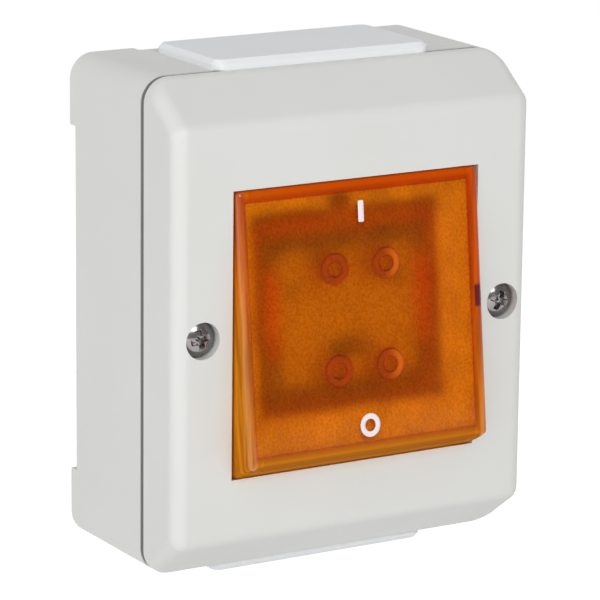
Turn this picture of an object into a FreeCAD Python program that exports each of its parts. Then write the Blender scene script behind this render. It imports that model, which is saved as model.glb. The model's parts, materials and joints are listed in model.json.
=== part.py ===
"""Surface-mounted weatherproof switch with a large translucent rocker.

Millimetres. X is right as seen from the front, +Y goes into the wall, Z is up.
The wall plane is y = 0 and the origin is the middle of the two wall-screw holes.
Depths are given as positive distances from the wall and used as negative y.
"""
import FreeCAD
import Part

import math
import os

V = FreeCAD.Vector
X_AXIS, Y_AXIS, Z_AXIS = V(1, 0, 0), V(0, 1, 0), V(0, 0, 1)

# Switch housing, which the window, the cover and the box are built around
housing_width = 45.0
housing_height = 41.0
housing_wall = 3.5
housing_corner = 1.5
housing_side = 5.1          # from the housing to the sides of the window
housing_end = 7.85          # from the housing to the ends of the window
mechanism_plate = 1.6
mechanism_gap = 4.2         # under the housing's rear plate, for the wires and the screw heads
seesaw_height = 4.9         # housing's back to the see-saw pivot
seesaw_distance = 17.5      # see-saw pivot to rocker pivot
pivot_below_face = 11.0     # rocker pivot to the cover's face
housing_reach = 4.2         # rocker pivot to the housing's front edge
floor_reach = 6.0           # see-saw pivot to the front of the middle floor
floor_thickness = 1.5
flange_reach = 2.0
flange_thickness = 1.6
latch_reach = 0.8
latch_height = 1.4
latch_length = 10.0
latch_gap = 0.05
key_width = 3.2
key_height = 1.6

# Enclosure
wall = 2.2
back_wall = 2.4
corner_radius = 5.0
foot_thickness = 1.4
foot_size = 14.0
back_edge_round = 1.2
gasket_thickness = 1.4
gasket_inset = 0.2          # from the outer surface of the box
gasket_width = 1.9

# Front cover
window_end = 20.65          # from the window to the top and bottom of the box
cover_depth = 12.6          # rim to front face
cover_edge = 1.4            # straight edge next to the gasket, before the slope
slope_inset = 8.1           # how far the top and bottom slope in towards the face
cover_round = 3.0
cover_wall = 2.2
collar_wall = 1.5
collar_gap = 0.35           # between the rocker's swing and the collar
rib_wall = 1.2
rib_depth = 3.0
rib_gap = 0.15
rib_start = 12.0            # from the line of the cover screws to the ribs
rib_end_gap = 10.0          # from the ribs to the top and bottom

# Cable entry plates
entry_width = 48.8
entry_back = 5.6            # distance of the plate's back edge from the wall
entry_thickness = 2.0
entry_bevel = 0.9
entry_radius = 2.5
entry_slot_side = 4.4       # from the ends of the plate to the slot it covers
entry_slot_sill = 3.4       # from the plate's back edge to the bottom of the slot
entry_fit = 0.1
entry_inner_overlap = 2.0
entry_inner_thickness = 1.4
knockout_margin = 0.8       # from the knock-out's groove to the ends of the slot
knockout_groove = 0.8
knockout_skin = 0.6

# Cover screws, their posts and seals
screw_from_window = 6.4
screw_inset = 6.0           # from the sides of the box
screw_head_radius = 3.4
screw_head_height = 2.4
screw_dome = 0.9
screw_radius = 1.75
screw_length = 17.0
recess_width = 1.0
recess_length = 3.9
recess_depth = 1.5
head_gap = 0.25             # round the head in its counterbore
head_below_face = 0.7
screw_hole_gap = 0.2
seal_thickness = 0.8
seal_gap = 0.35             # round the seal in the counterbore
sleeve_radius = 4.8
sleeve_tip_gap = 0.3        # between the sleeve's slim end and the cover seal
sleeve_tip_length = 4.7
post_radius = 4.0
post_gap = 0.3
post_below_rim = 1.0
insert_radius = 2.5
insert_length = 7.0
insert_groove = 0.3
thread_gap = 0.05
hole_end_gap = 1.5          # how much further a blind hole goes than what it holds

# Wall fixing
wall_screw_inset = 11.0     # from the top and bottom of the box
wall_hole_radius = 2.95
wall_pad_radius = 5.4
wall_pad_height = 1.5       # above the box floor

# Mounting frame and its screws
frame_side = 1.9            # from the window to the sides of the frame
frame_end = 11.15           # from the window to the ends of the frame
frame_below_rim = 5.0       # box rim to the back of the frame
frame_corner = 3.0
frame_thickness = 1.2
frame_fit = 0.15
frame_screw_inset_x = 5.5
frame_screw_inset_z = 3.5
frame_screw_radius = 1.75
frame_screw_length = 9.0
frame_screw_head = 3.4
frame_screw_head_height = 2.0
frame_post_radius = 3.2
head_chamfer = 0.6
wire_notch_width = 35.2
wire_notch_depth = 7.0
window_seal_thickness = 1.2
window_seal_width = 2.1
seal_screw_gap = 0.2

# Rocker
rocker_tilt = 6.5
rocker_proud = 3.5          # cover's face to the rocker's face when it stands level
rocker_gap = 0.3
rocker_side_gap = 0.45
rocker_face = 1.8
rocker_wall = 1.5
rocker_skirt = 11.0
rocker_round = 1.0
boss_x = 5.8
boss_inset = 3.1            # from the ends of the carrier
boss_radius = 3.0
boss_hole_radius = 1.6
boss_fit = 0.05
pin_length = 2.4            # carrier's pins in the bosses

# Rocker carrier
carrier_side = 3.7          # between the carrier and the sides of the housing
carrier_end = 4.0           # between the carrier and the ends of the housing
carrier_reach = 6.0         # rocker pivot to the carrier's front
carrier_plate = 2.2
hub_radius = 4.2
cheek = 2.4
cheek_inset = 3.7
web = 1.6
shoulder_radius = 3.4       # of the trunnion's shoulder beside the housing's side
shoulder_gap = 0.2
core_hole_radius = 1.6      # through the carrier's plate, above the spring tubes
core_hole_inset = 3.5       # from the carrier's sides
core_hole_gap = 0.8         # above the tubes
core_slot_gap = 0.4         # between the slot and the tubes beside it
core_slot_start = 3.7       # below the web
core_slot_height = 4.0
trunnion_radius = 2.5
trunnion_gap = 0.05
trunnion_end_gap = 0.6      # from the trunnion's end to the outside of the housing

# Poles: plungers, springs and see-saw contacts
pole_x = 8.0
tube_radius = 3.4
tube_bore = 2.4
tube_reach = 5.5            # rocker pivot to the end of the tube
plunger_radius = 2.3
plunger_reach = 3.0         # rocker pivot to the back of the plunger
plunger_collar = 4.0
plunger_tip_radius = 1.5
plunger_gap = 0.03
plunger_slot_gap = 0.45
spring_wire = 0.5
spring_radius = 1.75
spring_turns = 4
seesaw_tilt = 6.0
seesaw_width = 4.0
seesaw_end_gap = 0.9
seesaw_top = 1.5
seesaw_thickness = 1.2
bead_radius = 1.2
bead_gap = 0.05
rivet_radius = 1.6
rivet_height = 1.0
rivet_inset = 2.0           # rivet's middle to the end of the see-saw
fixed_rivet_height = 0.9
contact_gap = 0.05
strip_width = 3.6
strip_thickness = 0.8
strip_gap = 0.1             # between a strip's riser and the terminal cage
saddle_half = 2.0
saddle_below = 0.3

# Terminals
clamp_size = 6.4
clamp_length = 4.6
clamp_wall = 1.1
clamp_gap = 0.2             # between a cage and the housing
wire_hole_radius = 2.0
clamp_screw_radius = 1.45
clamp_screw_head = 2.4
clamp_screw_head_height = 1.4
clamp_screw_reach = 2.1     # from the cage's rear face into the cage
clamp_screw_slot = 0.8
driver_hole_radius = 2.7

# Glow lamp
lamp_radius = 1.9
lamp_half = 5.0
lamp_gap = 0.1              # between the lamp and the end of the housing
lamp_reach = 0.6            # rocker pivot to the lamp
lamp_lug_radius = 3.0       # round lug on the housing's upper side, over the lamp
lamp_lug_rise = 2.2         # from the housing to the top of the lug
lamp_rest_x = 3.6
lamp_rest_width = 1.2

# Earth terminal
earth_gap = 0.3             # between the pillar and the frame's post
earth_size = 7.0
earth_height = 9.0
earth_hole_radius = 1.7
earth_hole_height = 3.6
earth_screw_radius = 1.75
earth_screw_head = 3.0
earth_screw_length = 3.6

# Modelling margins
cut_margin = 1.0            # how far a cutting tool reaches past a surface
tolerance = 0.001

# Depths that follow, from the wall to the rocker
box_floor = foot_thickness + back_wall
housing_back = box_floor + mechanism_gap + mechanism_plate
seesaw_depth = housing_back + seesaw_height
housing_floor = seesaw_depth + floor_reach
pivot_depth = seesaw_depth + seesaw_distance
housing_front = pivot_depth + housing_reach
face_depth = pivot_depth + pivot_below_face
rim_depth = face_depth - cover_depth
box_depth = rim_depth - gasket_thickness
frame_depth = box_depth - frame_below_rim
frame_front = frame_depth + frame_thickness
seat_depth = face_depth - head_below_face - screw_head_height - seal_thickness
post_top = box_depth - post_below_rim
rocker_front = face_depth + rocker_proud
carrier_front = pivot_depth + carrier_reach
tube_end = pivot_depth - tube_reach
plunger_back = pivot_depth - plunger_reach
lamp_depth = pivot_depth + lamp_reach
clamp_depth = housing_back + clamp_screw_head_height + clamp_gap + clamp_size / 2

# Widths, heights and places that follow, from the housing outwards
cavity_width = housing_width - 2 * housing_wall
cavity_height = housing_height - 2 * housing_wall
window_width = housing_width + 2 * housing_side
window_height = housing_height + 2 * housing_end
screw_spacing = window_width + 2 * screw_from_window
box_width = screw_spacing + 2 * screw_inset
box_height = window_height + 2 * window_end
frame_width = window_width + 2 * frame_side
frame_height = window_height + 2 * frame_end
frame_screw_x = frame_width / 2 - frame_screw_inset_x
frame_screw_z = frame_height / 2 - frame_screw_inset_z
wall_screw_spacing = box_height - 2 * wall_screw_inset
entry_slot_width = entry_width - 2 * entry_slot_side
entry_slot_back = entry_back + entry_slot_sill
counterbore_radius = screw_head_radius + head_gap
screw_hole_radius = screw_radius + screw_hole_gap
sleeve_tip_radius = screw_inset - gasket_inset - gasket_width - sleeve_tip_gap
swing_radius = math.hypot(window_height / 2, pivot_below_face)
rocker_radius = swing_radius - rocker_gap
rocker_half_width = window_width / 2 - rocker_side_gap
collar_half_height = swing_radius + collar_gap
carrier_width = cavity_width - 2 * carrier_side
carrier_height = cavity_height - 2 * carrier_end
boss_z = carrier_height / 2 - boss_inset
core_hole_x = carrier_width / 2 - core_hole_inset
core_hole_z = tube_radius + core_hole_gap + core_hole_radius
clamp_z = cavity_height / 2 - clamp_gap - clamp_length / 2
riser_z = clamp_z - clamp_length / 2 - strip_gap - strip_thickness
seesaw_half = riser_z - seesaw_end_gap
rivet_arm = seesaw_half - rivet_inset
lamp_z = cavity_height / 2 - lamp_gap - lamp_radius
earth_x = frame_screw_x + frame_post_radius + earth_gap + earth_size / 2
earth_z = -frame_screw_z


def box(x0, x1, near, far, z0, z1):
    """Block between two x, two depths from the wall and two z."""
    return Part.makeBox(x1 - x0, far - near, z1 - z0, V(x0, -far, z0))


def rod_y(radius, near, far, x=0.0, z=0.0):
    """Cylinder along Y between two depths from the wall."""
    return Part.makeCylinder(radius, far - near, V(x, -far, z), Y_AXIS)


def rod_x(radius, x0, x1, depth, z=0.0):
    """Cylinder along X at a depth from the wall."""
    return Part.makeCylinder(radius, x1 - x0, V(x0, -depth, z), X_AXIS)


def rounded_outline(width, height, radius, depth):
    """Closed outline in the XZ plane at a depth: a rectangle with arc corners."""
    w, h, r = width / 2, height / 2, radius
    d = -depth
    k = r * (1 - math.sqrt(0.5))
    edges = []
    corners = [(1, 1), (-1, 1), (-1, -1), (1, -1)]
    for i, (sx, sz) in enumerate(corners):
        first = V(sx * w, d, sz * (h - r))
        last = V(sx * (w - r), d, sz * h)
        if sx * sz < 0:
            first, last = last, first
        middle = V(sx * (w - k), d, sz * (h - k))
        edges.append(Part.Arc(first, middle, last).toShape())
        nx, nz = corners[(i + 1) % 4]
        following = V(nx * (w - r), d, nz * h) if sx * sz > 0 else V(nx * w, d, nz * (h - r))
        edges.append(Part.makeLine(last, following))
    return Part.Wire(edges)


def rounded_block(width, height, radius, near, far):
    """Upright block between two depths whose outline has round corners."""
    return Part.Face(rounded_outline(width, height, radius, near)).extrude(V(0, near - far, 0))


def side_profile(points, x0, x1):
    """Prism along X of an outline given as (depth, z) points."""
    wire = Part.makePolygon([V(x0, -depth, z) for depth, z in points + points[:1]])
    return Part.Face(wire).extrude(V(x1 - x0, 0, 0))


def turned(shape, degrees, depth):
    """The shape turned about the X direction through a pivot at the given depth."""
    copy = shape.copy()
    copy.rotate(V(0, -depth, 0), X_AXIS, degrees)
    return copy


def mirrored_z(shape):
    return shape.mirror(V(0, 0, 0), Z_AXIS)


def both_sides(value):
    return ((-1, -value), (1, value))


def cover_form(width, height, radius, near, far, straight, inset, round_radius):
    """Outline block with sloped top and bottom and round front edges."""
    body = rounded_block(width, height, radius, near, far)
    half = height / 2
    slope_start = near + straight
    for sign in (1, -1):
        wedge = side_profile(
            [(slope_start, sign * half), (far, sign * (half - inset)),
             (far + cut_margin, sign * (half - inset)), (far + cut_margin, sign * (half + cut_margin)),
             (slope_start, sign * (half + cut_margin))],
            -width, width)
        body = body.cut(wedge)
    if round_radius:
        front = [e for e in body.Edges if min(-v.Point.y for v in e.Vertexes) > slope_start - tolerance]
        body = body.makeFillet(round_radius, front)
    return body


def window_cut():
    """Through cut of the window: flat sides, ends on the rocker's swing circle."""
    swing = rod_x(swing_radius, -window_width / 2, window_width / 2, pivot_depth)
    return swing.common(box(-window_width / 2, window_width / 2, pivot_depth, face_depth + cut_margin,
                            -box_height / 2, box_height / 2))


def front_cover():
    inner_far = face_depth - cover_wall
    cover = cover_form(box_width, box_height, corner_radius, rim_depth, face_depth,
                       cover_edge, slope_inset, cover_round)
    cavity = cover_form(box_width - 2 * wall, box_height - 2 * wall, corner_radius - wall,
                        rim_depth - cover_edge, inner_far, 2 * cover_edge, slope_inset, 0)
    cover = cover.cut(cavity)
    collar_near = frame_front + window_seal_thickness
    collar_half_width = window_width / 2
    collar = box(-collar_half_width - collar_wall, collar_half_width + collar_wall,
                 collar_near, inner_far, -collar_half_height - collar_wall,
                 collar_half_height + collar_wall)
    collar = collar.cut(box(-collar_half_width, collar_half_width, collar_near, inner_far,
                            -collar_half_height, collar_half_height))
    cover = cover.fuse(collar)
    inside_x = box_width / 2 - wall - rib_gap
    for sx, x in both_sides(inside_x):
        for sz in (1, -1):
            z0, z1 = sorted((sz * rib_start, sz * (box_height / 2 - rib_end_gap)))
            x0, x1 = sorted((x, x - sx * rib_wall))
            foot = sorted((x, sx * (box_width / 2 - wall / 2)))
            rib = box(x0, x1, box_depth - rib_depth, rim_depth + cover_edge, z0, z1)
            rib = rib.fuse(box(foot[0], foot[1], rim_depth, rim_depth + cover_edge, z0, z1))
            cover = cover.fuse(rib)
    for sx, x in both_sides(screw_spacing / 2):
        tip_far = post_top + post_gap + sleeve_tip_length
        sleeve = rod_y(sleeve_radius, tip_far, inner_far + cover_wall / 2, x)
        sleeve = sleeve.fuse(rod_y(sleeve_tip_radius, post_top + post_gap, tip_far, x))
        sleeve = sleeve.common(box(-box_width / 2 + wall / 2, box_width / 2 - wall / 2,
                                   0, face_depth, -box_height, box_height))
        cover = cover.fuse(sleeve)
    for sx, x in both_sides(screw_spacing / 2):
        cover = cover.cut(rod_y(screw_hole_radius, 0, face_depth, x))
        cover = cover.cut(rod_y(counterbore_radius, seat_depth, face_depth + cut_margin, x))
    cover = cover.cut(window_cut())
    return cover.removeSplitter()


def base_box():
    shell = rounded_block(box_width, box_height, corner_radius, foot_thickness, box_depth)
    back = [e for e in shell.Edges if all(abs(v.Point.y + foot_thickness) < tolerance for v in e.Vertexes)]
    shell = shell.makeFillet(back_edge_round, back)
    shell = shell.cut(rounded_block(box_width - 2 * wall, box_height - 2 * wall,
                                    corner_radius - wall, box_floor, box_depth))
    foot_outline = rounded_block(box_width, box_height, corner_radius, 0, foot_thickness + back_edge_round)
    for sx in (-1, 1):
        for sz in (-1, 1):
            x0, x1 = sorted((sx * box_width / 2, sx * (box_width / 2 - foot_size)))
            z0, z1 = sorted((sz * box_height / 2, sz * (box_height / 2 - foot_size)))
            pad = foot_outline.common(box(x0, x1, 0, foot_thickness + back_edge_round, z0, z1))
            shell = shell.fuse(pad)
    for sx, x in both_sides(screw_spacing / 2):
        post = rod_y(post_radius, foot_thickness + back_wall / 2, post_top, x)
        shell = shell.fuse(post)
    for sx, x in both_sides(screw_spacing / 2):
        shell = shell.cut(rod_y(insert_radius, post_top - insert_length, post_top, x))
        shell = shell.cut(rod_y(screw_hole_radius, post_top - insert_length - hole_end_gap, post_top, x))
    pilot = frame_screw_radius + thread_gap / 2
    for x, z in frame_screw_places():
        shell = shell.fuse(rod_y(frame_post_radius, foot_thickness + back_wall / 2, frame_depth, x, z))
        shell = shell.cut(rod_y(pilot, frame_depth - frame_screw_length - hole_end_gap, frame_depth, x, z))
    for sz, z in both_sides(wall_screw_spacing / 2):
        shell = shell.fuse(rod_y(wall_pad_radius, 0, box_floor + wall_pad_height, 0, z))
        shell = shell.cut(rod_y(wall_hole_radius, 0, box_floor + wall_pad_height, 0, z))
    half_slot = entry_slot_width / 2
    for sz in (-1, 1):
        z0, z1 = sorted((sz * (box_height / 2 - 2 * wall), sz * (box_height / 2 + cut_margin)))
        shell = shell.cut(box(-half_slot, half_slot, entry_slot_back, box_depth, z0, z1))
    return shell.removeSplitter()


def cable_entry_top():
    """Slide-in plate: bevelled outer flange, web in the slot, inner flange with a knock-out."""
    top = box_height / 2
    half = entry_width / 2
    outer = box(-half, half, entry_back, rim_depth, top, top + entry_thickness)
    upright = [e for e in outer.Edges if abs(e.Vertexes[0].Point.z - e.Vertexes[1].Point.z) > tolerance]
    outer = outer.makeFillet(entry_radius, upright)
    rim = [e for e in outer.Edges if all(v.Point.z > top + entry_thickness - tolerance for v in e.Vertexes)]
    outer = outer.makeChamfer(entry_bevel, rim)
    half_web = entry_slot_width / 2 - entry_fit
    web_block = box(-half_web, half_web, entry_slot_back + entry_fit, box_depth,
                    top - wall - entry_fit, top)
    inner_top = top - wall - entry_fit
    half_inner = entry_slot_width / 2 + entry_inner_overlap
    inner = box(-half_inner, half_inner, entry_slot_back - entry_inner_overlap, box_depth,
                inner_top - entry_inner_thickness, inner_top)
    plate = outer.fuse(web_block).fuse(inner)
    centre_depth = (entry_slot_back + box_depth) / 2
    ring_top = top + entry_thickness - knockout_skin
    bottom = inner_top - entry_inner_thickness
    outer_radius = (box_depth - entry_slot_back) / 2 - knockout_margin
    centre = V(0, -centre_depth, bottom)
    groove = Part.makeCylinder(outer_radius, ring_top - bottom, centre)
    groove = groove.cut(Part.makeCylinder(outer_radius - knockout_groove, ring_top - bottom, centre))
    return plate.cut(groove).removeSplitter()


def cover_gasket():
    outer = rounded_block(box_width - 2 * gasket_inset, box_height - 2 * gasket_inset,
                          corner_radius - gasket_inset, box_depth, rim_depth)
    lost = gasket_inset + gasket_width
    return outer.cut(rounded_block(box_width - 2 * lost, box_height - 2 * lost,
                                   corner_radius - lost, box_depth, rim_depth))


def cross_recess(depth):
    """Cross-shaped driver recess that opens at the given depth and tapers inwards."""
    tool = None
    half, slot = recess_length / 2, recess_width / 2
    bottom = depth - recess_depth
    for long_x in (True, False):
        a, c = (half, slot) if long_x else (slot, half)
        mouth = Part.makePolygon([V(-a, -depth, -c), V(a, -depth, -c), V(a, -depth, c),
                                  V(-a, -depth, c), V(-a, -depth, -c)])
        a, c = (slot, slot / 2) if long_x else (slot / 2, slot)
        end = Part.makePolygon([V(-a, -bottom, -c), V(a, -bottom, -c), V(a, -bottom, c),
                                V(-a, -bottom, c), V(-a, -bottom, -c)])
        wing = Part.makeLoft([mouth, end], True, True)
        tool = wing if tool is None else tool.fuse(wing)
    return tool


def cover_screw(x):
    """Domed head that sits on its seal, round shank towards the wall, cross recess."""
    seat = seat_depth + seal_thickness
    top = seat + screw_head_height
    edge = top - screw_dome
    sphere = (screw_head_radius ** 2 + screw_dome ** 2) / (2 * screw_dome)
    halfway = top - sphere + math.sqrt(sphere ** 2 - (screw_head_radius / 2) ** 2)
    end = seat - screw_length
    profile = Part.Wire([
        Part.makeLine(V(0, -end, 0), V(screw_radius, -end, 0)),
        Part.makeLine(V(screw_radius, -end, 0), V(screw_radius, -seat, 0)),
        Part.makeLine(V(screw_radius, -seat, 0), V(screw_head_radius, -seat, 0)),
        Part.makeLine(V(screw_head_radius, -seat, 0), V(screw_head_radius, -edge, 0)),
        Part.Arc(V(screw_head_radius, -edge, 0), V(screw_head_radius / 2, -halfway, 0),
                 V(0, -top, 0)).toShape(),
        Part.makeLine(V(0, -top, 0), V(0, -end, 0))])
    screw = Part.Face(profile).revolve(V(0, 0, 0), Y_AXIS, 360)
    screw = screw.cut(cross_recess(top))
    screw.translate(V(x, 0, 0))
    return screw


def plain_screw(seat, head_radius, radius, length, x, z):
    """Round head with a chamfered edge on a plain shank."""
    top = seat + frame_screw_head_height
    head = rod_y(head_radius, seat, top, x, z)
    edge = [e for e in head.Edges if all(-v.Point.y > top - tolerance for v in e.Vertexes)]
    return head.makeChamfer(head_chamfer, edge).fuse(rod_y(radius, seat - length, seat, x, z))


def screw_seal(x):
    seal_radius = counterbore_radius - seal_gap
    ring = rod_y(seal_radius, seat_depth, seat_depth + seal_thickness, x)
    return ring.cut(rod_y(screw_radius + thread_gap, seat_depth, seat_depth + seal_thickness, x))


def threaded_insert(x):
    """Brass insert with a groove, a fifth of its length, between its two knurled bands."""
    foot = post_top - insert_length
    body = rod_y(insert_radius, foot, post_top, x)
    near, far = foot + insert_length * 2 / 5, foot + insert_length * 3 / 5
    groove = rod_y(insert_radius + cut_margin, near, far, x)
    body = body.cut(groove.cut(rod_y(insert_radius - insert_groove, near, far, x)))
    return body.cut(rod_y(screw_radius + thread_gap, foot, post_top, x))


def frame_screw_places():
    return [(sx * frame_screw_x, sz * frame_screw_z) for sx in (-1, 1) for sz in (-1, 1)]


def mounting_frame():
    """Pressed steel plate with the housing's opening and four screw holes."""
    plate = rounded_block(frame_width, frame_height, frame_corner, frame_depth, frame_front)
    plate = plate.cut(rounded_block(housing_width + 2 * frame_fit, housing_height + 2 * frame_fit,
                                    housing_corner, frame_depth, frame_front))
    for x, z in frame_screw_places():
        plate = plate.cut(rod_y(frame_screw_radius + 2 * thread_gap, frame_depth, frame_front, x, z))
    for sz in (-1, 1):
        z0, z1 = sorted((sz * (frame_height / 2 - wire_notch_depth),
                         sz * (frame_height / 2 + cut_margin)))
        plate = plate.cut(box(-wire_notch_width / 2, wire_notch_width / 2,
                              frame_depth, frame_front, z0, z1))
    return plate


def frame_screws():
    screws = [plain_screw(frame_front, frame_screw_head, frame_screw_radius, frame_screw_length, x, z)
              for x, z in frame_screw_places()]
    return Part.makeCompound(screws)


def window_seal():
    """Flat elastomer ring pressed between the window collar and the frame."""
    middle_x = window_width / 2 + collar_wall / 2
    middle_z = collar_half_height + collar_wall / 2
    far = frame_front + window_seal_thickness
    half = window_seal_width / 2
    ring = rounded_block(2 * (middle_x + half), 2 * (middle_z + half), window_seal_width,
                         frame_front, far)
    ring = ring.cut(box(-middle_x + half, middle_x - half, frame_front, far,
                        -middle_z + half, middle_z - half))
    for x, z in frame_screw_places():
        ring = ring.cut(rod_y(frame_screw_head + seal_screw_gap, frame_front, far, x, z))
    return ring


def rocker_cap():
    """Open-backed translucent rocker whose ends follow a circle about the pivot."""
    back = rocker_front - rocker_skirt
    inner_far = rocker_front - rocker_face
    half = rocker_half_width
    shell = rod_x(rocker_radius, -half, half, pivot_depth)
    shell = shell.common(box(-half, half, back, rocker_front, -box_height / 2, box_height / 2))
    front = [e for e in shell.Edges if any(-v.Point.y > rocker_front - tolerance for v in e.Vertexes)]
    shell = shell.makeFillet(rocker_round, front)
    inner_half = half - rocker_wall
    hollow = rod_x(rocker_radius - rocker_wall, -inner_half, inner_half, pivot_depth)
    hollow = hollow.common(box(-inner_half, inner_half, back, inner_far,
                               -box_height / 2, box_height / 2))
    shell = shell.cut(hollow)
    for x in (-boss_x, boss_x):
        for z in (-boss_z, boss_z):
            shell = shell.fuse(rod_y(boss_radius, carrier_front, inner_far, x, z))
            shell = shell.cut(rod_y(boss_hole_radius, carrier_front, inner_far, x, z))
    return turned(shell.removeSplitter(), -rocker_tilt, pivot_depth)


def rocker_carrier():
    """Cored plate with pins for the cap's bosses, two spring tubes, and cheeks with trunnions."""
    half = carrier_width / 2
    cheek_foot = carrier_height / 2 - cheek_inset
    plate_back = carrier_front - carrier_plate
    body = box(-half, half, plate_back, carrier_front, -carrier_height / 2, carrier_height / 2)
    for sx in (-1, 1):
        x0, x1 = sorted((sx * half, sx * (half - cheek)))
        side = side_profile([(plate_back, cheek_foot), (pivot_depth, hub_radius),
                             (pivot_depth, -hub_radius), (plate_back, -cheek_foot)], x0, x1)
        body = body.fuse(side).fuse(rod_x(hub_radius, x0, x1, pivot_depth))
    body = body.fuse(box(-half + cheek, half - cheek, pivot_depth, plate_back, -web / 2, web / 2))
    for x in (-pole_x, pole_x):
        body = body.fuse(rod_y(tube_radius, tube_end, plate_back, x))
    for x in (-pole_x, pole_x):
        body = body.cut(rod_y(tube_bore, tube_end, plate_back, x))
    for x in (-boss_x, boss_x):
        for z in (-boss_z, boss_z):
            body = body.fuse(rod_y(boss_hole_radius - boss_fit, carrier_front,
                                   carrier_front + pin_length, x, z))
    for x in (-core_hole_x, core_hole_x):
        body = body.cut(rod_y(core_hole_radius, plate_back, carrier_front, x, core_hole_z))
    slot_half = pole_x - tube_radius - core_slot_gap
    slot_top = -web / 2 - core_slot_start
    body = body.cut(box(-slot_half, slot_half, plate_back, carrier_front,
                        slot_top - core_slot_height, slot_top))
    shoulder_end = cavity_width / 2 - shoulder_gap
    trunnion_end = housing_width / 2 - trunnion_end_gap
    for radius, end in ((shoulder_radius, shoulder_end), (trunnion_radius, trunnion_end)):
        body = body.fuse(rod_x(radius, half, end, pivot_depth))
        body = body.fuse(rod_x(radius, -end, -half, pivot_depth))
    return turned(body.removeSplitter(), -rocker_tilt, pivot_depth)


def switch_housing():
    """Tube-like body with a floor, bearing holes, outer flange, latches and a lug over the lamp."""
    half_w, half_h = cavity_width / 2, cavity_height / 2
    body = rounded_block(housing_width, housing_height, housing_corner, housing_back, housing_front)
    lug_z = housing_height / 2 + lamp_lug_rise - lamp_lug_radius
    body = body.fuse(rod_y(lamp_lug_radius, frame_front, housing_front, 0, lug_z))
    floor_back = housing_floor - floor_thickness
    body = body.cut(box(-half_w, half_w, housing_floor, housing_front, -half_h, half_h))
    body = body.cut(box(-half_w, half_w, housing_back, floor_back, -half_h, half_h))
    flange = rounded_block(housing_width + 2 * flange_reach, housing_height + 2 * flange_reach,
                           housing_corner + flange_reach, frame_front, frame_front + flange_thickness)
    flange = flange.cut(box(-half_w, half_w, frame_front, frame_front + flange_thickness,
                            -half_h, half_h))
    body = body.fuse(flange)
    latch_far = frame_depth - latch_gap
    for sx, x in both_sides(housing_width / 2):
        tip = x + sx * latch_reach
        foot = -latch_length / 2
        wire = Part.makePolygon([V(x, -latch_far, foot), V(tip, -latch_far, foot),
                                 V(x, -latch_far + latch_height, foot), V(x, -latch_far, foot)])
        body = body.fuse(Part.Face(wire).extrude(V(0, 0, latch_length)))
    body = body.cut(rod_x(trunnion_radius + trunnion_gap, -housing_width / 2, housing_width / 2,
                          pivot_depth))
    reach = (pivot_depth - housing_floor) * math.sin(math.radians(rocker_tilt))
    slot_z = reach + plunger_tip_radius + plunger_slot_gap
    slot_x = plunger_tip_radius + plunger_slot_gap
    for x in (-pole_x, pole_x):
        body = body.cut(box(x - slot_x, x + slot_x, floor_back, housing_floor, -slot_z, slot_z))
        for z in (-1, 1):
            z0, z1 = sorted((z * half_h, z * housing_height / 2))
            wire_hole = Part.makeCylinder(wire_hole_radius, z1 - z0, V(x, -clamp_depth, z0))
            body = body.cut(wire_hole)
    for x in (-lamp_rest_x, lamp_rest_x):
        rest = box(x - lamp_rest_width / 2, x + lamp_rest_width / 2, housing_floor, lamp_depth,
                   lamp_z - lamp_radius, half_h)
        body = body.fuse(rest)
    body = body.cut(rod_x(lamp_radius, -lamp_half, lamp_half, lamp_depth, lamp_z))
    return body.removeSplitter()


def mechanism_base():
    """Rear plate of the housing with pads under the load strips and driver holes."""
    far = housing_back
    near = housing_back - mechanism_plate
    plate = rounded_block(housing_width, housing_height, housing_corner, near, far)
    for x in (-pole_x, pole_x):
        pad = box(x - strip_width / 2, x + strip_width / 2, far, load_strip_back(),
                  -riser_z - strip_thickness, -rivet_arm + rivet_radius)
        plate = plate.fuse(pad)
        for z in (-clamp_z, clamp_z):
            plate = plate.cut(rod_y(driver_hole_radius, near, far, x, z))
    key = box(-key_width / 2, key_width / 2, far, far + key_height,
              -cavity_height / 2, cavity_height / 2)
    return plate.fuse(key).removeSplitter()


def plunger_length():
    """Distance of the plunger's tip from the rocker pivot: it just clears the see-saw when level."""
    return seesaw_distance - seesaw_top - plunger_gap


def plunger(x):
    tip = pivot_depth - plunger_length()
    ball = tip + plunger_tip_radius
    shoulder = plunger_back - plunger_collar
    body = rod_y(plunger_radius, shoulder, plunger_back, x)
    body = body.fuse(rod_y(plunger_tip_radius, ball, shoulder, x))
    body = body.fuse(Part.makeSphere(plunger_tip_radius, V(x, -ball, 0)))
    return turned(body.removeSplitter(), -rocker_tilt, pivot_depth)


def plunger_spring(x):
    """Coil spring between the plunger's back and the bottom of its tube."""
    near = plunger_back + spring_wire / 2
    far = carrier_front - carrier_plate - spring_wire / 2
    pitch = (far - near) / spring_turns
    helix = Part.makeHelix(pitch, far - near, spring_radius)
    half = spring_wire / 2
    section = Part.makePolygon([V(spring_radius - half, 0, -half), V(spring_radius + half, 0, -half),
                                V(spring_radius + half, 0, half), V(spring_radius - half, 0, half),
                                V(spring_radius - half, 0, -half)])
    coil = Part.Wire(helix).makePipeShell([section], True, True)
    coil.rotate(V(0, 0, 0), X_AXIS, 90)
    coil.translate(V(x, -near, 0))
    return turned(coil, -rocker_tilt, pivot_depth)


def contact(x):
    """See-saw contact: flat bar with a round bead at its pivot and a rivet at its lower end."""
    top = seesaw_depth + seesaw_top
    under = top - seesaw_thickness
    half = seesaw_width / 2
    bar = box(x - half, x + half, under, top, -seesaw_half, seesaw_half)
    bar = bar.fuse(rod_x(bead_radius, x - half, x + half, seesaw_depth))
    bar = bar.fuse(rod_y(rivet_radius, under - rivet_height, under, x, -rivet_arm))
    return turned(bar.removeSplitter(), seesaw_tilt, seesaw_depth)


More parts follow.
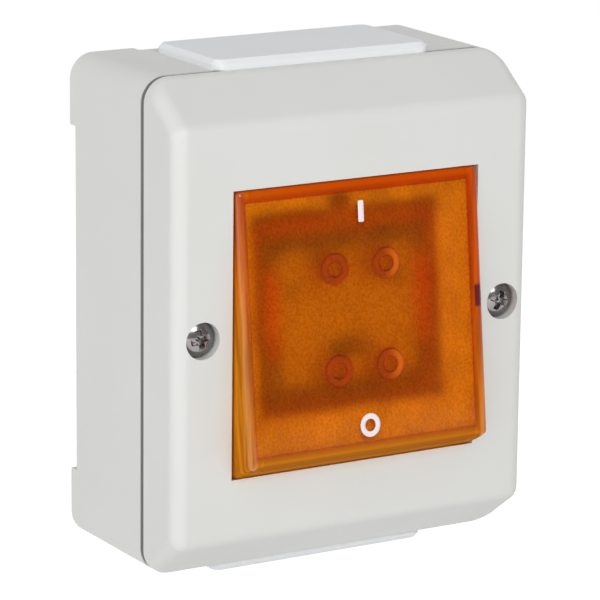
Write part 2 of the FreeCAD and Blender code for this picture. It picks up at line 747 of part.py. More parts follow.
def strip_end(x, sign, near):
    """Riser of a strip from a depth up to its tongue, which lies in the terminal cage."""
    half = strip_width / 2
    far = clamp_depth + clamp_size / 2 - clamp_wall
    z0, z1 = sorted((sign * riser_z, sign * (riser_z + strip_thickness)))
    t0, t1 = sorted((sign * riser_z, sign * (clamp_z + clamp_length / 2)))
    riser = box(x - half, x + half, near, far, z0, z1)
    return riser.fuse(box(x - half, x + half, far - strip_thickness, far, t0, t1))


def line_strip(x):
    """Strip with the saddle that carries the see-saw, running up to the upper terminal."""
    half = strip_width / 2
    near = housing_back
    saddle = box(x - half, x + half, near, seesaw_depth - saddle_below, -saddle_half, saddle_half)
    saddle = saddle.cut(rod_x(bead_radius + bead_gap, x - half, x + half, seesaw_depth))
    strip = saddle.fuse(box(x - half, x + half, near, near + strip_thickness, 0, riser_z))
    return strip.fuse(strip_end(x, 1, near)).removeSplitter()


def fixed_rivet_face():
    """Depth of the fixed rivet's face, just clear of the closed see-saw's rivet edge."""
    a = math.radians(seesaw_tilt)
    reach = seesaw_top - seesaw_thickness - rivet_height
    deepest = -reach * math.cos(a) + (rivet_arm + rivet_radius) * math.sin(a)
    return seesaw_depth - deepest - contact_gap


def load_strip_back():
    return fixed_rivet_face() - fixed_rivet_height - strip_thickness


def load_strip(x):
    """Strip with the fixed rivet, running down to the lower terminal."""
    half = strip_width / 2
    near = load_strip_back()
    top = near + strip_thickness
    strip = box(x - half, x + half, near, top, -riser_z, -rivet_arm + rivet_radius)
    strip = strip.fuse(rod_y(rivet_radius, top, fixed_rivet_face(), x, -rivet_arm))
    return strip.fuse(strip_end(x, -1, near)).removeSplitter()


def clamp(x, z):
    """Terminal cage: square ring open towards the wire, with a screw hole in its rear wall."""
    half, z0 = clamp_size / 2, z - clamp_length / 2
    near, far = clamp_depth - half, clamp_depth + half
    cage = box(x - half, x + half, near, far, z0, z0 + clamp_length)
    inner = half - clamp_wall
    cage = cage.cut(box(x - inner, x + inner, near + clamp_wall, far - clamp_wall, z0, z0 + clamp_length))
    return cage.cut(rod_y(clamp_screw_radius + thread_gap, near, near + clamp_wall, x, z))


def clamp_screw(x, z):
    """Slotted terminal screw that enters the cage from the rear."""
    seat = clamp_depth - clamp_size / 2
    back = seat - clamp_screw_head_height
    screw = rod_y(clamp_screw_head, back, seat, x, z)
    screw = screw.cut(box(x - clamp_screw_head, x + clamp_screw_head, back,
                          back + clamp_screw_head_height / 2,
                          z - clamp_screw_slot / 2, z + clamp_screw_slot / 2))
    return screw.fuse(rod_y(clamp_screw_radius, seat, seat + clamp_screw_reach, x, z))


def glow_lamp():
    """Small glass tube lamp with a round end."""
    tube = rod_x(lamp_radius, -lamp_half, lamp_half - lamp_radius, lamp_depth, lamp_z)
    end = Part.makeSphere(lamp_radius, V(lamp_half - lamp_radius, -lamp_depth, lamp_z))
    return tube.fuse(end).removeSplitter()


def earth_terminal():
    """Brass pillar on the box floor with a cross hole for the wire and a screw hole."""
    half = earth_size / 2
    pillar = box(earth_x - half, earth_x + half, box_floor, box_floor + earth_height,
                 earth_z - half, earth_z + half)
    wire_depth = box_floor + earth_hole_height
    cross = Part.makeCylinder(earth_hole_radius, earth_size, V(earth_x, -wire_depth, earth_z - half))
    pillar = pillar.cut(cross)
    return pillar.cut(rod_y(earth_screw_radius + thread_gap, wire_depth, box_floor + earth_height,
                            earth_x, earth_z))


def earth_screw():
    return plain_screw(box_floor + earth_height, earth_screw_head, earth_screw_radius,
                       earth_screw_length, earth_x, earth_z)


def parts():
    """Every piece of the switch by its node name."""
    out = {
        "base_box": base_box(),
        "cable_entry_top": cable_entry_top(),
        "cable_entry_bottom": mirrored_z(cable_entry_top()),
        "cover_gasket": cover_gasket(),
        "front_cover": front_cover(),
        "mounting_frame": mounting_frame(),
        "frame_screws": frame_screws(),
        "window_seal": window_seal(),
        "rocker_cap": rocker_cap(),
        "rocker_carrier": rocker_carrier(),
        "switch_housing": switch_housing(),
        "mechanism_base": mechanism_base(),
        "glow_lamp": glow_lamp(),
        "earth_terminal": earth_terminal(),
        "earth_screw": earth_screw(),
    }
    for side, sign in (("left", -1), ("right", 1)):
        screw_x, x = sign * screw_spacing / 2, sign * pole_x
        out["cover_screw_" + side] = cover_screw(screw_x)
        out["screw_seal_" + side] = screw_seal(screw_x)
        out["threaded_insert_" + side] = threaded_insert(screw_x)
        out["plunger_" + side] = plunger(x)
        out["plunger_spring_" + side] = plunger_spring(x)
        out["contact_" + side] = contact(x)
        out["line_strip_" + side] = line_strip(x)
        out["load_strip_" + side] = load_strip(x)
        for end, z in (("upper", clamp_z), ("lower", -clamp_z)):
            out["clamp_%s_%s" % (end, side)] = clamp(x, z)
            out["clamp_screw_%s_%s" % (end, side)] = clamp_screw(x, z)
    return out


os.makedirs("parts", exist_ok=True)
for name, shape in parts().items():
    shape.exportStep("parts/%s.step" % name)
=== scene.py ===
import json
import math

import bpy
import numpy as np
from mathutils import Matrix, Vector


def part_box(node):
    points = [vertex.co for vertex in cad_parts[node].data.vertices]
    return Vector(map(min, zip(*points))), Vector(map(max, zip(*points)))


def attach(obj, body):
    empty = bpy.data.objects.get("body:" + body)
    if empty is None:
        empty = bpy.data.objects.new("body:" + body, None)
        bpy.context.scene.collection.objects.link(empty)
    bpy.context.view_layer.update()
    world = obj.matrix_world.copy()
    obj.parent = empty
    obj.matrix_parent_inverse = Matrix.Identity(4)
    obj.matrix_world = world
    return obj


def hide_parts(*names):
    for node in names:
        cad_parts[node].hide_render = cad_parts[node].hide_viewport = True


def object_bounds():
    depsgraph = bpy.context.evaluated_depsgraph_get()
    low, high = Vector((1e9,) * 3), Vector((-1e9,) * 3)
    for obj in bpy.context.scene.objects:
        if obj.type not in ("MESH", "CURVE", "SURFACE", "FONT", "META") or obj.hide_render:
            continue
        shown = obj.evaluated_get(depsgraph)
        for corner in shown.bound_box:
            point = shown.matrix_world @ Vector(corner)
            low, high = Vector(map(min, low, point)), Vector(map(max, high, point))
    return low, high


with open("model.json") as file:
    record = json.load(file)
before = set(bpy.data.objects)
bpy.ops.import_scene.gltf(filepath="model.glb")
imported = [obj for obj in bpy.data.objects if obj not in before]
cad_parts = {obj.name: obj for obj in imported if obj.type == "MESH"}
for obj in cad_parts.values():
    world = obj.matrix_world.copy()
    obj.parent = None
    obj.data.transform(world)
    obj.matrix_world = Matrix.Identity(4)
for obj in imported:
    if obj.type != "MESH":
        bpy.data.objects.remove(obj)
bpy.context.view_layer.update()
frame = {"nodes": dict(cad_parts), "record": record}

MM = 0.001

# Rocker: it stands tilted about its pivot, with its lower end out
PIVOT = (0.0, -32 * MM, 0.0)
ROCKER_TILT = math.radians(-6.5)
ROCKER_FRONT = 46.5 * MM        # wall plane to the rocker's face when it stands level
ROCKER_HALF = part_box("rocker_cap")[1].x
ROCKER_RADIUS = 30.11 * MM      # of the rocker's ends about the pivot
ROCKER_FACE = 1.8 * MM
ROCKER_WALL = 1.5 * MM

# Marks on the rocker's face: how far they stand out, and the widths and heights of their outlines
MARK_RISE = 0.05 * MM
BAR_SIZE = (1.25 * MM, 4.2 * MM)
BAR_MIDDLE = 20.5 * MM
BAR_POWER = 12
RING_OUTER = (4.5 * MM, 4.65 * MM)
RING_INNER = (2.35 * MM, 2.5 * MM)
RING_MIDDLE = -21.3 * MM

# Frost inside the rocker: thin in a rectangle over the mechanism and a round lug above it, and thick
# towards the border, where the thick frost is also painted light in place of the light from the gap
# behind. Places are from the middle of the level rocker's face. A share, here and below, is the part
# of the surface that scatters light instead of letting it through.
THIN_MIDDLE = (-3.1 * MM, 0.0, 2.1 * MM)
THIN_HALF = (21.0 * MM, 0.0, 19.9 * MM)
THIN_CORNER = 1.5 * MM
LUG_MIDDLE = (-4.1 * MM, 0.0, 22.0 * MM)
LUG_RADIUS = 2.9 * MM
LUG_NECK = 1.0 * MM
FROST_AND_PAINTED_LIGHT_GROWS = (-1.8 * MM, 1.6 * MM)     # across the border of the thin part
FROST_AND_PAINTED_LIGHT_SHARE = (0.2, 0.84)
GRAIN = 0.5 * MM                        # coarser than real spark erosion, so that it shows
GRAIN_CONTRAST = 0.5
GRAIN_RELIEF = 0.06 * MM
CLEAR_RELIEF = 0.02                     # share of it on the polished faces
ROUGHNESS = (0.04, 0.6)                 # of the polished and of the frosted faces
CLOUDS = 5 * MM
CLOUD_CONTRAST = 0.2
NOISE_SPAN = (0.3, 0.7)                 # where most of a noise texture's values lie
SPECKLE_SPAN = (0.4, 0.6)               # over which the frost's grains change their tint

# Painted glow, colour that stands in for light caught in the amber, at its rim and over the four tubes
# behind its face.
# It lies a little to the left of what sends it, as in the photograph.
GLOW_SHIFT = -0.6 * MM
GLOW_TINTS = 15.0                       # a glow has its full tint from 1/15 of its strength on
RIM_GROWS = (-0.9 * MM, 0.4 * MM)       # outwards of the inner face of a side wall
RIM_END_LESS = 0.6 * MM                 # it starts this much further out at the ends
RIM_SHARE = 0.95
TUBE_MIDDLE = (5.8 * MM, 0.0, 9.9 * MM)
TUBE_RADIUS = 2.3 * MM
TUBE_FADES = (1.0 * MM, 0.3 * MM)       # distances from the tube's wall, where the glow ends and is full
# Painted light: the tubes' glow grows from left to right, as on tubes lit from the left
TUBE_LIT = (4.3 * MM, 7.8 * MM)         # the tubes' glow grows between these places, left to right
TUBE_SHARE = (0.28, 0.75)
TINT_SLOPE = 0.5                        # the rim's tint changes half as fast across as upwards
TINT_HALF = 27 * MM                     # it turns from golden to red over twice this height
STREAKS = 0.9 * MM
STREAK_SQUASH = 0.06                    # their width over their length
STREAK_REACH = 2 * MM                   # further in from the side walls they no longer change across
STREAK_SPAN = (0.35, 0.65)
STREAK_DARK = 0.5                       # share of the dark tint in the darkest streaks

# Polish on the amber's front edges along its sides, which catch the lamps
FILLET_SIDE = (-0.2 * MM, 0.1 * MM)
FILLET_FRONT = (-0.3 * MM, 0.1 * MM)

# Dark spot in the rocker's right edge: its middle and half height, and where it starts and is full,
# inwards from the edge and forwards to the middle of the face's thickness
PIN_MIDDLE = 1.25 * MM
PIN_HALF = 2.2 * MM
PIN_BLUR = 0.3 * MM
PIN_INWARDS = (2.1 * MM, 1.7 * MM)
PIN_FORWARDS = (-1.9 * MM, -1.5 * MM)
PIN_SHARE = 0.8

# Red strips on the sides of the rocker's carrier, which show through the amber; their strong red is a
# painted glow
RIB_MIDDLE = 17.0 * MM
RIB_HALF = 1.3 * MM
RIB_DEPTHS = (37.8 * MM, 38.9 * MM)
RIB_ENDS = (-8.0 * MM, 10.5 * MM)

# Cover screws: how far each is turned, in degrees, and its head and thread
SCREWS_TURNED = {"left": 14, "right": -24}
SCREW_SEAT = 39.9 * MM                  # wall plane to the underside of the head
SCREW_SHANK = 1.75 * MM
SCREW_PITCH = 0.6 * MM
THREAD_DEPTH = 0.3 * MM
PLAIN_TURNS = 1.5                       # without thread under the head
TIP_TURNS = 1.2
TIP_SHARE = 0.75                        # of the shank's radius
DOME_SHARE = 0.4                        # of the head's height
EDGE_SHARE = 0.03                       # of the head's radius
HEAD_ROWS = 100
EDGE_ROWS = 6
ROWS_PER_TURN = 6
SCREW_COLUMNS = 240

# Studio: each lamp's place, its width and height in metres, its power in watts, and whether it is mirrored
LAMPS = (("front", (-0.1, -1.35, 0.75), (1.0, 0.6), 10.8, True),
         ("left", (-1.4, -0.2, 0.3), (0.8, 0.9), 4.8, True),
         ("strip", (-0.7, -1.2, 0.03), (0.6, 0.08), 2.0, False))
WORLD_LEVEL = 0.5
SCREEN_LEVEL = 0.3
SCREEN_SIDE = (0.5, -0.86, 0.0)
SCREEN_EDGE = (0.35, 0.85)              # cosines of the angle to its middle, where it starts and is full
FLOOR_GAP = 100 * MM
FLOOR_HALF = 1.5
FLOOR_LIFT = 0.55

# Camera at the photograph's place, found by fitting the box's edges: its turn is in degrees, its lens
# and sensor are in millimetres
CAMERA_PLACE = (-0.36421, -0.63108, 0.17289)
CAMERA_TURN = (76.280, -0.621, -30.713)
LENS = 220.64
SENSOR = 36.0

# Sockets of a Mix node for colours: the share of the second colour, both colours, and the result
SHARE, FIRST, SECOND, MIXED = 0, 6, 7, 2


def linear(code):
    """Linear RGBA of an sRGB hex colour."""
    out = []
    for i in (0, 2, 4):
        c = int(code[i:i + 2], 16) / 255
        out.append(c / 12.92 if c <= 0.04045 else ((c + 0.055) / 1.055) ** 2.4)
    return (*out, 1.0)


def add(tree, kind, inputs=(), **settings):
    """Adds a node: settings are its properties, and inputs are for its sockets, by name or in order.

    Each input is a value, a socket to link, or a node, whose first output is linked."""
    n = tree.nodes.new("ShaderNode" + kind)
    for key, value in settings.items():
        setattr(n, key, value)
    for key, value in inputs.items() if isinstance(inputs, dict) else enumerate(inputs):
        if isinstance(value, bpy.types.Node):
            value = value.outputs[0]
        if isinstance(value, bpy.types.NodeSocket):
            tree.links.new(value, n.inputs[key])
        else:
            n.inputs[key].default_value = value
    return n


def blank(name):
    """New material and its empty node tree."""
    material = bpy.data.materials.new(name)
    material.use_nodes = True
    tree = material.node_tree
    tree.nodes.clear()
    return material, tree


def moulded_plastic(name, light, dark, roughness, grain, relief, ior):
    """Injection-moulded plastic: a fine even grain from the tool, and a slow drift of shade and gloss.

    grain is the spacing and relief the height of the tool's texture, in metres. The spacing is coarser
    than the real one, so that it shows."""
    uneven = 0.04
    material, tree = blank(name)
    place = add(tree, "TexCoord").outputs["Object"]
    drift = add(tree, "TexNoise", {"Vector": place, "Scale": 1 / (22 * MM), "Detail": 2.0})
    tone = add(tree, "Mix", {SHARE: drift, FIRST: linear(light), SECOND: linear(dark)}, data_type="RGBA")
    gloss = add(tree, "MapRange", {"Value": drift, "To Min": roughness - uneven,
                                   "To Max": roughness + uneven})
    texture = add(tree, "TexNoise", {"Vector": place, "Scale": 1 / grain, "Detail": 3.0, "Roughness": 0.6})
    bump = add(tree, "Bump", {"Height": texture, "Strength": 1.0, "Distance": relief})
    shader = add(tree, "BsdfPrincipled", {
        "Base Color": tone.outputs[MIXED], "Roughness": gloss, "IOR": ior, "Normal": bump})
    add(tree, "OutputMaterial", {"Surface": shader})
    return material


def moulded_rubber():
    """EPDM seal: matt, dark grey, with a dusty speckle."""
    material, tree = blank("epdm_rubber")
    place = add(tree, "TexCoord").outputs["Object"]
    speckle = add(tree, "TexNoise", {"Vector": place, "Scale": 1 / (0.4 * MM), "Detail": 4.0})
    tone = add(tree, "Mix", {SHARE: speckle, FIRST: linear("5c5c5a"), SECOND: linear("757371")},
               data_type="RGBA")
    bump = add(tree, "Bump", {"Height": speckle, "Strength": 1.0, "Distance": 0.03 * MM})
    shader = add(tree, "BsdfPrincipled", {
        "Base Color": tone.outputs[MIXED], "Roughness": 0.75, "IOR": 1.5, "Normal": bump})
    add(tree, "OutputMaterial", {"Surface": shader})
    return material


def rocker_walls(tree, x, y, z):
    """How far a point lies outwards of the side walls' inner faces, of the end walls' inner faces, which
    are round about the pivot, and of the middle of the face's thickness."""
    across = add(tree, "Math", (x,), operation="ABSOLUTE")
    side = add(tree, "Math", (across, ROCKER_HALF - ROCKER_WALL), operation="SUBTRACT")
    upright = add(tree, "CombineXYZ", (0.0, y, z))
    swing = add(tree, "VectorMath", (upright,), operation="LENGTH").outputs["Value"]
    end = add(tree, "Math", (swing, ROCKER_RADIUS - ROCKER_WALL), operation="SUBTRACT")
    face_middle = ROCKER_FRONT + PIVOT[1] - ROCKER_FACE / 2
    face = add(tree, "Math", (y, -1.0, -face_middle), operation="MULTIPLY_ADD")
    return side, end, face


def frost_and_painted_light_share(tree, place, level, grain):
    """The share of frost, with painted light where it thickens at the border. It grows across the border
    of the thin part, which is a rectangle with corners rounded by a smooth maximum, joined to the lug by a
    smooth minimum. Grain and slow clouds make it uneven."""
    past = add(tree, "VectorMath", (level, THIN_MIDDLE), operation="SUBTRACT")
    past = add(tree, "VectorMath", (past,), operation="ABSOLUTE")
    past = add(tree, "VectorMath", (past, THIN_HALF), operation="SUBTRACT")
    past_x, _, past_z = add(tree, "SeparateXYZ", (past,)).outputs
    border = add(tree, "Math", (past_x, past_z, THIN_CORNER), operation="SMOOTH_MAX")
    lug = add(tree, "VectorMath", (level, LUG_MIDDLE), operation="DISTANCE").outputs["Value"]
    lug = add(tree, "Math", (lug, LUG_RADIUS), operation="SUBTRACT")
    border = add(tree, "Math", (border, lug, LUG_NECK), operation="SMOOTH_MIN")
    share = add(tree, "MapRange", (border, *FROST_AND_PAINTED_LIGHT_GROWS, *FROST_AND_PAINTED_LIGHT_SHARE), interpolation_type="SMOOTHSTEP")
    clouds = add(tree, "TexNoise", {"Vector": place, "Scale": 1 / CLOUDS, "Detail": 1.0})
    for noise, contrast in ((grain, GRAIN_CONTRAST), (clouds, CLOUD_CONTRAST)):
        uneven = add(tree, "MapRange", (noise, *NOISE_SPAN, 1 - contrast, 1 + contrast))
        share = add(tree, "Math", (share, uneven), operation="MULTIPLY")
    return share


def painted_rim_glow(tree, across, end):
    """Ramp from 0 to 1 towards the rim, where the glow is painted, over the larger of the distances
    outwards of the side walls' and of the end walls' inner faces."""
    side = add(tree, "Math", (across, ROCKER_HALF - ROCKER_WALL), operation="SUBTRACT")
    end = add(tree, "Math", (end, RIM_END_LESS), operation="SUBTRACT")
    rim = add(tree, "Math", (side, end), operation="MAXIMUM")
    return add(tree, "MapRange", (rim, *RIM_GROWS))


def painted_tube_glow(tree, across, z):
    """Mask of the painted glow: 1 over the walls of the four tubes, which lie alike on both sides and
    above and below, and 0 away from them."""
    height = add(tree, "Math", (z,), operation="ABSOLUTE")
    quarter = add(tree, "CombineXYZ", (across, 0.0, height))
    wall = add(tree, "VectorMath", (quarter, TUBE_MIDDLE), operation="DISTANCE").outputs["Value"]
    wall = add(tree, "Math", (wall, TUBE_RADIUS), operation="SUBTRACT")
    wall = add(tree, "Math", (wall,), operation="ABSOLUTE")
    return add(tree, "MapRange", (wall, *TUBE_FADES), interpolation_type="SMOOTHSTEP")


def edge_pin(tree, x, z, face):
    """1 in the dark spot and 0 away from it: the product of a ramp inwards from the edge, one along its
    height and one in depth."""
    inwards = [ROCKER_HALF - distance for distance in PIN_INWARDS]
    spot = add(tree, "MapRange", (x, *inwards))
    height = add(tree, "Math", (z, PIN_MIDDLE), operation="SUBTRACT")
    height = add(tree, "Math", (height,), operation="ABSOLUTE")
    height = add(tree, "MapRange", (height, PIN_HALF + PIN_BLUR, PIN_HALF - PIN_BLUR))
    depth = add(tree, "MapRange", (face, *PIN_FORWARDS))
    for ramp in (height, depth):
        spot = add(tree, "Math", (spot, ramp), operation="MULTIPLY")
    return spot


def edge_tint(tree, x, y, z, side):
    """Painted colour of the light caught at the rim: golden at the lower left and redder at the upper
    right, with darker streaks along the sides."""
    warmth = add(tree, "Math", (x, TINT_SLOPE, z), operation="MULTIPLY_ADD")
    warmth = add(tree, "MapRange", (warmth, -TINT_HALF, TINT_HALF), interpolation_type="SMOOTHSTEP")
    tint = add(tree, "Mix", {SHARE: warmth, FIRST: linear("d88418"), SECOND: linear("d45004")},
               data_type="RGBA").outputs[MIXED]
    near_side = add(tree, "Math", (side, -STREAK_REACH), operation="MAXIMUM")
    squashed = add(tree, "Math", (z, STREAK_SQUASH), operation="MULTIPLY")
    streaks = add(tree, "CombineXYZ", (near_side, y, squashed))
    streaks = add(tree, "TexNoise", {"Vector": streaks, "Scale": 1 / STREAKS, "Detail": 2.0})
    streaks = add(tree, "MapRange", (streaks, *STREAK_SPAN, STREAK_DARK, 0.0))
    return add(tree, "Mix", {SHARE: streaks, FIRST: tint, SECOND: linear("7c2c08")},
               data_type="RGBA").outputs[MIXED]


def amber_polycarbonate():
    """Clear amber polycarbonate, polished outside and spark-eroded inside.

    The colour comes from the depth of plastic that light passes. What lies behind looks blurred and
    grainy through the frosted inner face, whose frost is thicker at the border, where its scatter is
    also painted light in place of the light from the gap behind. A painted glow, colour standing in for
    light caught in the plastic, lies on the walls and edges, redder at the upper right and golden at the
    lower left, and over the tubes behind."""
    material, tree = blank("amber_polycarbonate")
    place = add(tree, "TexCoord").outputs["Object"]
    place = add(tree, "Mapping", {"Vector": place, "Location": PIVOT, "Rotation": (ROCKER_TILT, 0, 0)},
                vector_type="TEXTURE")
    x, y, z = add(tree, "SeparateXYZ", (place,)).outputs
    level = add(tree, "CombineXYZ", (x, 0.0, z))
    grain = add(tree, "TexNoise", {"Vector": place, "Scale": 1 / GRAIN, "Detail": 2.0, "Roughness": 0.7})

    # 1 on the inner faces, 0 on the outer ones, which start halfway through the plastic
    side, end, face = rocker_walls(tree, x, y, z)
    wall = add(tree, "Math", (side, end), operation="MAXIMUM")
    wall = add(tree, "Math", (wall, ROCKER_WALL / 2), operation="SUBTRACT")
    outer = add(tree, "Math", (face, wall), operation="MAXIMUM")
    frosted = add(tree, "Math", (outer, 0.0), operation="LESS_THAN")
    clear = add(tree, "Math", (1.0, frosted), operation="SUBTRACT")

    # Share of the surface that scatters light, painted light and painted glow included, and what is left,
    # which lets it through
    across = add(tree, "Math", (x, GLOW_SHIFT), operation="SUBTRACT")
    across = add(tree, "Math", (across,), operation="ABSOLUTE")
    rim = add(tree, "Math", (painted_rim_glow(tree, across, end), clear), operation="MULTIPLY")
    tube = add(tree, "Math", (painted_tube_glow(tree, across, z), clear), operation="MULTIPLY")
    pin = add(tree, "Math", (edge_pin(tree, x, z, face), clear), operation="MULTIPLY")
    # Painted light: the tubes' glow is stronger towards the right
    lit = add(tree, "MapRange", (x, *TUBE_LIT, *TUBE_SHARE), interpolation_type="SMOOTHSTEP")
    scatter_with_painted_light = add(tree, "Math", (frost_and_painted_light_share(tree, place, level, grain), frosted), operation="MULTIPLY")
    for glow, share in ((rim, RIM_SHARE), (tube, lit), (pin, PIN_SHARE)):
        scatter_with_painted_light = add(tree, "Math", (glow, share, scatter_with_painted_light), operation="MULTIPLY_ADD", use_clamp=True)
    through = add(tree, "Math", (1.0, scatter_with_painted_light), operation="SUBTRACT")

    # Tint: the frost's grains, then the painted glow of the rim and the tubes, and the spot, each over
    # what is there
    speckle = add(tree, "MapRange", (grain, *SPECKLE_SPAN), interpolation_type="SMOOTHSTEP")
    speckle = add(tree, "Math", (speckle, frosted), operation="MULTIPLY")
    tint = add(tree, "Mix", {SHARE: speckle, FIRST: linear("f6f3f1"), SECOND: linear("d0c5b8")},
               data_type="RGBA").outputs[MIXED]
    on_rim = add(tree, "Math", (rim, GLOW_TINTS), operation="MULTIPLY", use_clamp=True)
    on_tube = add(tree, "Math", (tube, GLOW_TINTS), operation="MULTIPLY", use_clamp=True)
    for share, colour in ((on_rim, edge_tint(tree, x, y, z, side)), (on_tube, linear("e0701c")),
                          (pin, linear("6a1420"))):
        tint = add(tree, "Mix", {SHARE: share, FIRST: tint, SECOND: colour},
                   data_type="RGBA").outputs[MIXED]

    roughness = add(tree, "MapRange", {"Value": frosted, "To Min": ROUGHNESS[0], "To Max": ROUGHNESS[1]})
    strength = add(tree, "MapRange", {"Value": frosted, "To Min": CLEAR_RELIEF, "To Max": 1.0})
    bump = add(tree, "Bump", {"Height": grain, "Strength": strength, "Distance": GRAIN_RELIEF})
    polish = clear
    for distance, span in ((side, FILLET_SIDE), (face, FILLET_FRONT)):
        near_edge = add(tree, "MapRange", (distance, *span), interpolation_type="SMOOTHSTEP")
        polish = add(tree, "Math", (polish, near_edge), operation="MULTIPLY")

    # The weak specular tint keeps the studio's mirror image on the face as faint as in the photograph.
    # Lamps reach what lies behind through the bare surface and the dye, which takes most of the blue
    # out of their light within a millimetre.
    plastic = add(tree, "BsdfPrincipled", {
        "Base Color": tint, "Roughness": roughness, "IOR": 1.585, "Specular IOR Level": 0.0,
        "Specular Tint": linear("61616f"), "Coat Weight": polish, "Coat Roughness": ROUGHNESS[0],
        "Transmission Weight": through, "Normal": bump})
    bare = add(tree, "BsdfTransparent", {"Color": linear("f9f9f9")})
    lamp_ray = add(tree, "LightPath").outputs["Is Shadow Ray"]
    surface = add(tree, "MixShader", (lamp_ray, plastic, bare))
    dye = add(tree, "VolumeAbsorption", {"Color": linear("fded27"), "Density": 2225.0})
    add(tree, "OutputMaterial", {"Surface": surface, "Volume": dye})
    return material


def smooth_metal(name, light, dark, roughness):
    """Plated or bare metal, rolled or drawn: a mirror in the metal's colour with a fine uneven bloom."""
    uneven = 0.06
    material, tree = blank(name)
    place = add(tree, "TexCoord").outputs["Object"]
    bloom = add(tree, "TexNoise", {"Vector": place, "Scale": 1 / (0.8 * MM), "Detail": 5.0})
    tone = add(tree, "Mix", {SHARE: bloom, FIRST: linear(light), SECOND: linear(dark)}, data_type="RGBA")
    gloss = add(tree, "MapRange", {"Value": bloom, "To Min": roughness - uneven,
                                   "To Max": roughness + uneven})
    bump = add(tree, "Bump", {"Height": bloom, "Strength": 1.0, "Distance": 0.01 * MM})
    shader = add(tree, "BsdfPrincipled", {
        "Base Color": tone.outputs[MIXED], "Metallic": 1.0, "Roughness": gloss, "Normal": bump})
    add(tree, "OutputMaterial", {"Surface": shader})
    return material


def printed_ink():
    """Pad-printed white ink: matt, a little uneven in cover."""
    material, tree = blank("white_ink")
    place = add(tree, "TexCoord").outputs["Object"]
    cover = add(tree, "TexNoise", {"Vector": place, "Scale": 1 / (0.6 * MM), "Detail": 2.0})
    tone = add(tree, "Mix", {SHARE: cover, FIRST: linear("f2e9ea"), SECOND: linear("e6dadd")},
               data_type="RGBA")
    shader = add(tree, "BsdfPrincipled", {"Base Color": tone.outputs[MIXED], "Roughness": 0.5, "IOR": 1.5})
    add(tree, "OutputMaterial", {"Surface": shader})
    return material


def lamp_glass():
    """Clear soda-lime tube: smooth and faintly warm, with a slight ripple from drawing."""
    material, tree = blank("lamp_glass")
    place = add(tree, "TexCoord").outputs["Object"]
    ripple = add(tree, "TexNoise", {"Vector": place, "Scale": 1 / (3 * MM)})
    bump = add(tree, "Bump", {"Height": ripple, "Strength": 1.0, "Distance": 0.02 * MM})
    shader = add(tree, "BsdfPrincipled", {
        "Base Color": linear("fff0dc"), "Roughness": 0.03, "IOR": 1.52, "Transmission Weight": 1.0,
        "Normal": bump})
    add(tree, "OutputMaterial", {"Surface": shader})
    return material


def lay_grid(name, points, loop=False):
    """Closed mesh of a grid of points (rows, columns, 3).

    Columns close on themselves. Rows close too when loop is set. Otherwise the first and the last
    row are each drawn together into the one point where the surface ends."""
    rows, columns = points.shape[:2]
    index = np.arange(rows * columns).reshape(rows, columns)
    ahead = np.roll(index, -1, axis=1)
    if loop:
        below, below_ahead = np.roll(index, -1, axis=0), np.roll(ahead, -1, axis=0)
        quads = np.stack([index, ahead, below_ahead, below], -1).reshape(-1, 4)
        vertices, faces = points.reshape(-1, 3), quads.tolist()
    else:
        body = index[1:-1] - columns + 1
        side = ahead[1:-1] - columns + 1
        last = (rows - 2) * columns + 1
        quads = np.stack([body[:-1], side[:-1], side[1:], body[1:]], -1).reshape(-1, 4)
        near = np.stack([np.zeros(columns, int), side[0], body[0]], -1)
        far = np.stack([np.full(columns, last), body[-1], side[-1]], -1)
        vertices = np.vstack([points[0, :1], points[1:-1].reshape(-1, 3), points[-1, :1]])
        faces = quads.tolist() + near.tolist() + far.tolist()
    mesh = bpy.data.meshes.new(name)
    mesh.from_pydata(vertices.tolist(), [], faces)
    mesh.shade_smooth()
    mesh.update()
    piece = bpy.data.objects.new(name, mesh)
    bpy.context.scene.collection.objects.link(piece)
    return piece


def full_turn(columns):
    """Angles of one turn in equal steps, as a row."""
    return np.linspace(0, 2 * np.pi, columns, endpoint=False)[None, :]


def on_rocker(x, depth, z):
    """Points of the level rocker, at depths from the wall, turned with it about its pivot."""
    y = -depth - PIVOT[1]
    c, s = math.cos(ROCKER_TILT), math.sin(ROCKER_TILT)
    return np.stack([x, y * c - z * s + PIVOT[1], y * s + z * c], -1)


def ellipse(width, height, turn):
    """Points of an ellipse: half its width by the cosine and half its height by the sine of turn."""
    return width / 2 * np.cos(turn), height / 2 * np.sin(turn)


def ring_mark():
    """Flat ring: a low profile with rounded edges, from the inner to the outer ellipse, carried round.

    across is the share of the way outwards, and rise the share of the mark's height."""
    turn = full_turn(96)
    across = np.array([0.0, 0.0, 0.06, 0.94, 1.0, 1.0])[:, None]
    rise = np.array([-0.4, 0.6, 1.0, 1.0, 0.6, -0.4])[:, None]
    inner, outer = ellipse(*RING_INNER, turn), ellipse(*RING_OUTER, turn)
    x = inner[0] + (outer[0] - inner[0]) * across
    z = inner[1] + (outer[1] - inner[1]) * across + RING_MIDDLE
    depth = ROCKER_FRONT + MARK_RISE * rise + 0 * turn
    return lay_grid("mark_off", on_rocker(x, depth, z), loop=True)


def bar_mark():
    """Upright bar: a superellipse |x/a|^n + |z/b|^n = 1 that rises from the face to a flat top.

    size is the share of the outline's size, and rise the share of the mark's height."""
    turn = full_turn(96)
    size = np.array([0.0, 1.0, 1.0, 0.94, 0.0])[:, None]
    rise = np.array([-0.4, -0.4, 0.6, 1.0, 1.0])[:, None]
    power = 2 / BAR_POWER
    x = BAR_SIZE[0] / 2 * size * np.sign(np.cos(turn)) * np.abs(np.cos(turn)) ** power
    z = BAR_SIZE[1] / 2 * size * np.sign(np.sin(turn)) * np.abs(np.sin(turn)) ** power + BAR_MIDDLE
    depth = ROCKER_FRONT + MARK_RISE * rise + 0 * turn
    return lay_grid("mark_on", on_rocker(x, depth, z)[:, ::-1])


